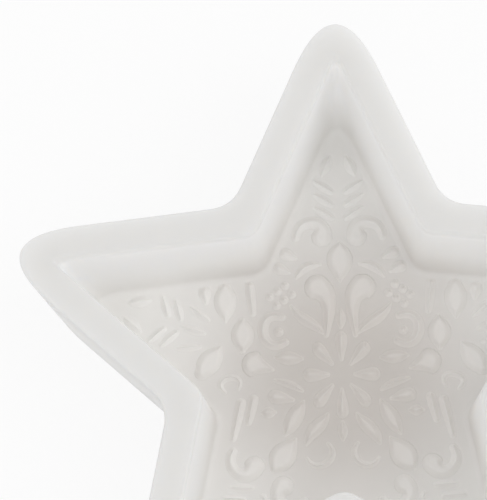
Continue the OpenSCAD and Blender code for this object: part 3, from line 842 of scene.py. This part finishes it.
class Raised:
    """Lays out the motifs that each operator of the raised ornament lists, as one piece for its node."""

    def execute(self, context):
        tray, ornament = context.scene.star_tray, context.scene.star_ornament
        tree = bpy.data.node_groups.get("ornament_copies") or copies_tree()
        material = bpy.data.materials.get("milky_relief") or relief_silicone(context.scene.star_finish)
        joined = bmesh.new()
        for motif in self.motifs(ornament, Places(tray, ornament)):
            made = laid_out(context, tree, motif, (tray, ornament), material)
            joined.from_mesh(made)
            bpy.data.meshes.remove(made)
        mesh = bpy.data.meshes.new(self.node)
        joined.to_mesh(mesh)
        joined.free()
        tidy(mesh)
        mesh.materials.append(material)
        seat(context, self.node + "_relief", mesh, self.node)
        return {"FINISHED"}


class STAR_OT_centre_drops(Raised, Operator):
    """Eight drops round the centre"""

    bl_idname = "star_tray.centre_drops"
    bl_label = "Centre drops"
    node = "centre_drops"

    def motifs(self, size, at):
        path = straight((0, size.drop_r), UP, size.drop_len - size.drop_w / 2)
        half = drop_half(size.drop_w)
        ring = {"turns": DROPS, "turn_step": 360 / DROPS, "left_and_right": False}
        yield Motif(path, half, at.flower, stretch=size.stretch, **ring)


class STAR_OT_fork_beans(Raised, Operator):
    """Beans that grow from the fork above the centre, and the beans at the sides"""

    bl_idname = "star_tray.fork_beans"
    bl_label = "Fork beans"
    node = "fork_beans"

    def motifs(self, size, at):
        half = shaped(size.bean_w, BEAN_SHARES)
        fork = bent(at.fork_root, size.bean_len, BEAN_SHAPE)
        side_root = polar(at.fork_r + size.side_leaf_len, SIDE_BEAN_TURN)
        side = straight(side_root, polar(1, ARM_TURN), size.side_bean_len)
        yield Motif(fork, half, at.flower)
        yield Motif(side, half, at.flower)


class STAR_OT_fork_leaves(Raised, Operator):
    """Leaves, drops and petals round the flower"""

    bl_idname = "star_tray.fork_leaves"
    bl_label = "Fork leaves"
    node = "fork_leaves"

    def motifs(self, size, at):
        fork = bent(at.leaf_root, size.leaf_len, LEAF_SHAPE)
        low = below(bent(at.fork_root, size.low_leaf_len, LOW_LEAF_SHAPE))
        side = straight(polar(at.fork_r, SIDE_TURN), polar(1, SIDE_LEAF_LIE), size.side_leaf_len)
        thin = bent(polar(at.fork_r, THIN_LEAF_TURN), size.thin_leaf_len, THIN_LEAF_SHAPE)
        drop_root = polar(at.fork_r + size.side_drop_w, SIDE_DROP_TURN)
        drop = straight(drop_root, polar(1, SIDE_DROP_LIE), size.side_drop_len - size.side_drop_w / 2)
        petal = straight(polar(at.fork_r + size.leaf_gap, PETAL_TURN), polar(1, PETAL_LIE), size.petal_len)
        yield Motif(fork, leaf_half(size.leaf_w), at.flower)
        yield Motif(low, leaf_half(size.low_leaf_w), at.flower)
        yield Motif(side, leaf_half(size.side_leaf_w), at.flower)
        yield Motif(thin, leaf_half(size.thin_leaf_w), at.flower)
        yield Motif(drop, drop_half(size.side_drop_w), at.flower)
        yield Motif(petal, leaf_half(size.petal_w), at.flower)


class STAR_OT_oval_buds(Raised, Operator):
    """Oval buds above the flower, beside it and along the side walls"""

    bl_idname = "star_tray.oval_buds"
    bl_label = "Oval buds"
    node = "oval_buds"

    def motifs(self, size, at):
        half = shaped(size.bud_w, BUD_SHARES)
        top = straight((0, at.bud_r), UP, size.bud_len)
        low = straight((0, at.bud_r - size.low_in), UP, size.bud_len)
        yield Motif(top, half, at.flower, left_and_right=False)
        yield Motif(low, half, at.flower, turn=LOW_ARM * ARM_TURN)
        inner_r = size.stretch * (size.drop_r + size.drop_len) + size.inner_bud_gap
        inner = straight((0, inner_r), UP, size.inner_bud_len)
        yield Motif(inner, leaf_half(size.inner_bud_w), at.flower, left_and_right=False, below_too=True)
        side = straight(at.side_bud - np.array((0, size.side_bud_len / 2)), UP, size.side_bud_len)
        yield Motif(side, shaped(size.side_bud_w, SIDE_BUD_SHARES), at.flower)
        small_middle = polar(at.fork_r + size.curl_gap, SIDE_DROP_TURN)
        small = straight(small_middle - np.array((size.small_bud_len / 2, 0)), RIGHT, size.small_bud_len)
        yield Motif(small, leaf_half(size.small_bud_w), at.flower)
        wall_half = shaped(size.wall_bud_w, WALL_BUD_SHARES)
        wall = straight(at.corner + size.wall_bud_at * at.side_wall, DOWN, size.wall_bud_len)
        low_wall = across_arm([p - np.array((0, size.low_wall_bud_in)) for p in wall])
        yield Motif(wall, wall_half)
        yield Motif(low_wall, wall_half)


class STAR_OT_bean_arcs(Raised, Operator):
    """Curved bands over the beans"""

    bl_idname = "star_tray.bean_arcs"
    bl_label = "Bean bands"
    node = "bean_arcs"

    def motifs(self, size, at):
        r = size.bean_w / 2 + size.arc_gap + size.arc_w / 2
        path = round_path(at.bean_head, r, ARC_SWEEP)
        yield Motif(path, leaf_half(size.arc_w), at.flower)


class STAR_OT_hook_curls(Raised, Operator):
    """Hooks with their seeds beside the flower, curls below it and eyes at the low walls"""

    bl_idname = "star_tray.hook_curls"
    bl_label = "Hooks"
    node = "hook_curls"

    def motifs(self, size, at):
        hook = round_path(at.hook_middle, size.hook_r, HOOK_SWEEP)
        seed = bead(at.hook_middle + polar(size.seed_off, SEED_LIE), size.seed_w / 2)
        curl = round_path(polar(at.fork_r + size.curl_gap, CURL_TURN), size.curl_r, CURL_SWEEP)
        eye = round_path(polar(size.drawn_r - size.eye_gap, EYE_TURN), size.eye_r, EYE_SWEEP)
        yield Motif(hook, shaped(size.hook_w, HOOK_SHARES), at.flower)
        yield Motif(*seed, at.flower)
        yield Motif(curl, leaf_half(size.curl_w), at.flower)
        yield Motif(eye, leaf_half(size.eye_w))


class STAR_OT_side_bars(Raised, Operator):
    """Narrow bars at the foot of the side walls and before the low corners"""

    bl_idname = "star_tray.side_bars"
    bl_label = "Side bars"
    node = "side_bars"

    def motifs(self, size, at):
        half = shaped(size.bar_w, BAR_SHARES)
        upper = straight(at.corner + size.bar_at * at.side_wall, polar(1, BAR_LIE), size.bar_len)
        yield Motif(upper, half)
        for inward in (0, size.low_bar_pitch):
            root = polar(size.drawn_r - size.low_bar_gap - inward, LOW_BAR_TURN)
            low = straight(root, polar(1, LOW_BAR_LIE), size.low_bar_len - inward)
            yield Motif(low, half)


class STAR_OT_seed_beads(Raised, Operator):
    """Two rows of three beads in front of the corners of the walls"""

    bl_idname = "star_tray.seed_beads"
    bl_label = "Seed beads"
    node = "seed_beads"

    def motifs(self, size, at):
        along = polar(size.bead_pitch, HALF_TURN + 90)
        for inward in (0, size.bead_row):
            middle = polar(size.drawn_r - size.bead_gap - inward, HALF_TURN)
            for i in (-1, 0, 1):
                yield Motif(*bead(middle + i * along, size.bead_r))


class STAR_OT_wall_drops(Raised, Operator):
    """Small drops at the foot of the walls"""

    bl_idname = "star_tray.wall_drops"
    bl_label = "Wall drops"
    node = "wall_drops"

    def motifs(self, size, at):
        half = shaped(size.wall_drop_w, WALL_DROP_SHARES)
        inward = np.array((-at.up_wall[1], at.up_wall[0]))
        side_inward = np.array((at.side_wall[1], -at.side_wall[0]))
        for along in (size.wall_drop_at, size.wall_drop_at + size.wall_drop_pitch):
            root = at.corner + along * at.up_wall
            yield Motif(straight(root, inward, size.wall_drop_len), half)
        outer = at.corner + (size.wall_bud_at + size.wall_bud_w) * at.side_wall
        yield Motif(straight(outer, side_inward, size.wall_drop_len), half)


class STAR_OT_arm_scrolls(Raised, Operator):
    """Half-moon scrolls where the top point and the low points begin"""

    bl_idname = "star_tray.arm_scrolls"
    bl_label = "Scrolls"
    node = "arm_scrolls"

    def motifs(self, size, at):
        half = shaped(size.scroll_w, SCROLL_SHARES)
        top = bent((0, at.scroll_r), size.scroll_len, SCROLL_SHAPE)
        low = bent((0, at.scroll_r - size.low_in), size.scroll_len, SCROLL_SHAPE)
        yield Motif(top, half, at.flower)
        yield Motif(low, half, at.flower, both_sides=True, turn=LOW_ARM * ARM_TURN)


class STAR_OT_arm_sprays(Raised, Operator):
    """Ribbed sprays along the points, and the leaves at the roots of the side points"""

    bl_idname = "star_tray.arm_sprays"
    bl_label = "Sprays"
    node = "arm_sprays"

    def motifs(self, size, at):
        along_wall = (size.wall_bud_at + size.side_spray_gap) * math.cos(math.radians(at.edge_angle))
        root_r = size.drawn_r * math.cos(math.radians(HALF_TURN)) + along_wall
        yield self.ribs(size, at, 0, at.flower * (at.scroll_r + size.spray_gap))
        yield self.ribs(size, at, LOW_ARM, at.flower * (at.scroll_r - size.low_in + size.spray_gap))
        yield self.ribs(size, at, SIDE_ARM, root_r + size.side_spray_len + size.tip_gap)
        half = leaf_half(size.spray_w)
        turn = SIDE_ARM * ARM_TURN
        middle = straight((0, root_r), UP, size.side_spray_len)
        outer_root = (ROOT_LEAF_OFF * size.spray_w, root_r)
        outer = straight(outer_root, polar(1, SIDE_SPRAY_LIE), size.side_spray_len)
        yield Motif(middle, half, turn=turn)
        yield Motif(outer, half, both_sides=True, turn=turn)

    def ribs(self, size, at, arm, first):
        """Row of ribs along a point."""
        along = polar(1, RIB_LIE)
        last = at.tip_end_r - size.tip_leaf_len - size.tip_gap - size.spray_len * along[1]
        return Motif(
            straight((size.spray_w, first), along, size.spray_len),
            shaped(size.spray_w, RIB_SHARES),
            copies=int((last - first) / size.spray_pitch) + 1,
            pitch=size.spray_pitch,
            both_sides=arm > 0,
            turn=arm * ARM_TURN,
        )


class STAR_OT_tip_leaves(Raised, Operator):
    """Leaf pairs at the ends of the points"""

    bl_idname = "star_tray.tip_leaves"
    bl_label = "Tip leaves"
    node = "tip_leaves"

    def motifs(self, size, at):
        root = (TIP_LEAF_OFF * size.tip_leaf_w, at.tip_end_r)
        path = straight(root, polar(1, 180 - at.edge_angle), size.tip_leaf_len)
        ring = {"turns": ARMS, "turn_step": ARM_TURN, "left_and_right": False}
        yield Motif(path, leaf_half(size.tip_leaf_w), both_sides=True, **ring)


# Stage


CAMERA_AT = (1.912 * MM, -198.432 * MM, 902.751 * MM)
CAMERA_TURN = (14.169, 1.6725, -0.7357)
CAMERA_LENS = 298.8
CAMERA_SENSOR = 36
CAMERA_FAR = 100

# Name, place, width and watts of each lamp
LAMPS = (
    ("soft_key", (4.2, 0.0, 4.8), 4.0, 60.0),
    ("soft_fill", (-0.4, -3.2, 5.6), 4.0, 10.0),
)

AMBIENT = 0.82
WHITE = (1, 1, 1, 1)
FLOOR_SIZE = 6.0
FLOOR_GREY = (0.92, 0.92, 0.92, 1)
FLOOR_WHITE = 0.86
FLOOR_GAP = 0.1 * MM
FLOOR_NEAR = 2 * MM


def white_rays(tree):
    """1 for the rays that show the background: from the camera, from gloss and through glass."""
    rays = tree.nodes.new("ShaderNodeLightPath").outputs
    shown = worked_out(tree, "MAXIMUM", rays["Is Camera Ray"], rays["Is Glossy Ray"])
    return worked_out(tree, "MAXIMUM", shown, rays["Is Transmission Ray"])


def from_below(tree):
    """1 for the rays that come up to the floor from under it or leave the base that stands on it."""
    travelled = tree.nodes.new("ShaderNodeLightPath").outputs["Ray Length"]
    near = worked_out(tree, "LESS_THAN", travelled, FLOOR_NEAR)
    under = tree.nodes.new("ShaderNodeNewGeometry").outputs["Backfacing"]
    return worked_out(tree, "MAXIMUM", under, near)


def studio_world(scene):
    """Soft even light, seen as plain white."""
    scene.world = bpy.data.worlds.new("studio")
    scene.world.use_nodes = True
    tree = scene.world.node_tree
    light = tree.nodes["Background"]
    light.inputs["Color"].default_value = WHITE
    light.inputs["Strength"].default_value = AMBIENT
    white = add(tree, "ShaderNodeBackground", Color=WHITE, Strength=1)
    seen = add(tree, "ShaderNodeMixShader", white_rays(tree), light.outputs[0], white)
    tree.links.new(seen, tree.nodes["World Output"].inputs["Surface"])


def floor_material():
    """Pale floor that is nearly white to the camera, keeps a soft shadow and is clear from below."""
    material = bpy.data.materials.new("studio_floor")
    material.use_nodes = True
    tree = material.node_tree
    tree.nodes.remove(tree.nodes["Principled BSDF"])
    matt = add(tree, "ShaderNodeBsdfDiffuse", Color=FLOOR_GREY)
    glow = add(tree, "ShaderNodeEmission", Color=WHITE, Strength=1)
    amount = worked_out(tree, "MULTIPLY", white_rays(tree), FLOOR_WHITE)
    pale = add(tree, "ShaderNodeMixShader", amount, matt, glow)
    clear = add(tree, "ShaderNodeBsdfTransparent")
    seen = add(tree, "ShaderNodeMixShader", from_below(tree), pale, clear)
    tree.links.new(seen, tree.nodes["Material Output"].inputs["Surface"])
    return material


def add_camera(scene):
    """Long lens that looks down on the tray from a little in front of it."""
    lens = bpy.data.cameras.new("photo_view")
    lens.lens = CAMERA_LENS
    lens.sensor_width = CAMERA_SENSOR
    lens.clip_end = CAMERA_FAR
    camera = bpy.data.objects.new("photo_view", lens)
    camera.location = CAMERA_AT
    camera.rotation_euler = [math.radians(a) for a in CAMERA_TURN]
    scene.collection.objects.link(camera)
    scene.camera = camera


def add_lamp(scene, name, place, width, power):
    """Wide soft lamp that points at the tray."""
    light = bpy.data.lights.new(name, "AREA")
    light.size = width
    light.energy = power
    lamp = bpy.data.objects.new(name, light)
    lamp.location = place
    lamp.rotation_euler = (-lamp.location).to_track_quat("-Z", "Y").to_euler()
    scene.collection.objects.link(lamp)


def add_floor(scene):
    """Square floor, a hair under the base."""
    half = FLOOR_SIZE / 2
    low = CAD_LOW.z - FLOOR_GAP
    corners = [(-half, -half, low), (half, -half, low), (half, half, low), (-half, half, low)]
    mesh = bpy.data.meshes.new("studio_floor")
    mesh.from_pydata(corners, [], [(0, 1, 2, 3)])
    mesh.materials.append(floor_material())
    floor = bpy.data.objects.new("studio_floor", mesh)
    scene.collection.objects.link(floor)


class STAR_OT_stage(Operator):
    """Camera, soft studio light and a pale floor"""

    bl_idname = "star_tray.stage"
    bl_label = "Stage"

    def execute(self, context):
        scene = context.scene
        add_camera(scene)
        for lamp in LAMPS:
            add_lamp(scene, *lamp)
        add_floor(scene)
        studio_world(scene)
        scene.view_settings.view_transform = "Standard"
        return {"FINISHED"}


PIECE_OPERATORS = (
    STAR_OT_tray,
    STAR_OT_centre_drops,
    STAR_OT_fork_beans,
    STAR_OT_fork_leaves,
    STAR_OT_oval_buds,
    STAR_OT_bean_arcs,
    STAR_OT_hook_curls,
    STAR_OT_side_bars,
    STAR_OT_seed_beads,
    STAR_OT_wall_drops,
    STAR_OT_arm_scrolls,
    STAR_OT_arm_sprays,
    STAR_OT_tip_leaves,
    STAR_OT_stage,
)
GROUPS = (("star_tray", TraySizes), ("star_ornament", OrnamentSizes), ("star_finish", Finish))


class STAR_PT_panel(Panel):
    """Sidebar panel with the pieces and their sizes"""

    bl_idname = "STAR_PT_panel"
    bl_label = "Star Tray"
    bl_space_type = "VIEW_3D"
    bl_region_type = "UI"
    bl_category = "Star Tray"

    def draw(self, context):
        for name, group in GROUPS:
            column = self.layout.column(align=True)
            for field in group.__annotations__:
                column.prop(getattr(context.scene, name), field)
        column = self.layout.column(align=True)
        for operator in PIECE_OPERATORS:
            column.operator(operator.bl_idname)


def register():
    """Registers the groups of sizes, the operators and the panel."""
    for name, group in GROUPS:
        bpy.utils.register_class(group)
        setattr(bpy.types.Scene, name, PointerProperty(type=group))
    for operator in PIECE_OPERATORS:
        bpy.utils.register_class(operator)
    bpy.utils.register_class(STAR_PT_panel)


def unregister():
    """Takes out what register put in."""
    bpy.utils.unregister_class(STAR_PT_panel)
    for operator in reversed(PIECE_OPERATORS):
        bpy.utils.unregister_class(operator)
    for name, group in reversed(GROUPS):
        delattr(bpy.types.Scene, name)
        bpy.utils.unregister_class(group)


def main():
    """Builds the pieces and the stage."""
    register()
    for operator in PIECE_OPERATORS:
        category, name = operator.bl_idname.split(".")
        getattr(getattr(bpy.ops, category), name)()


if __name__ == "__main__":
    main()
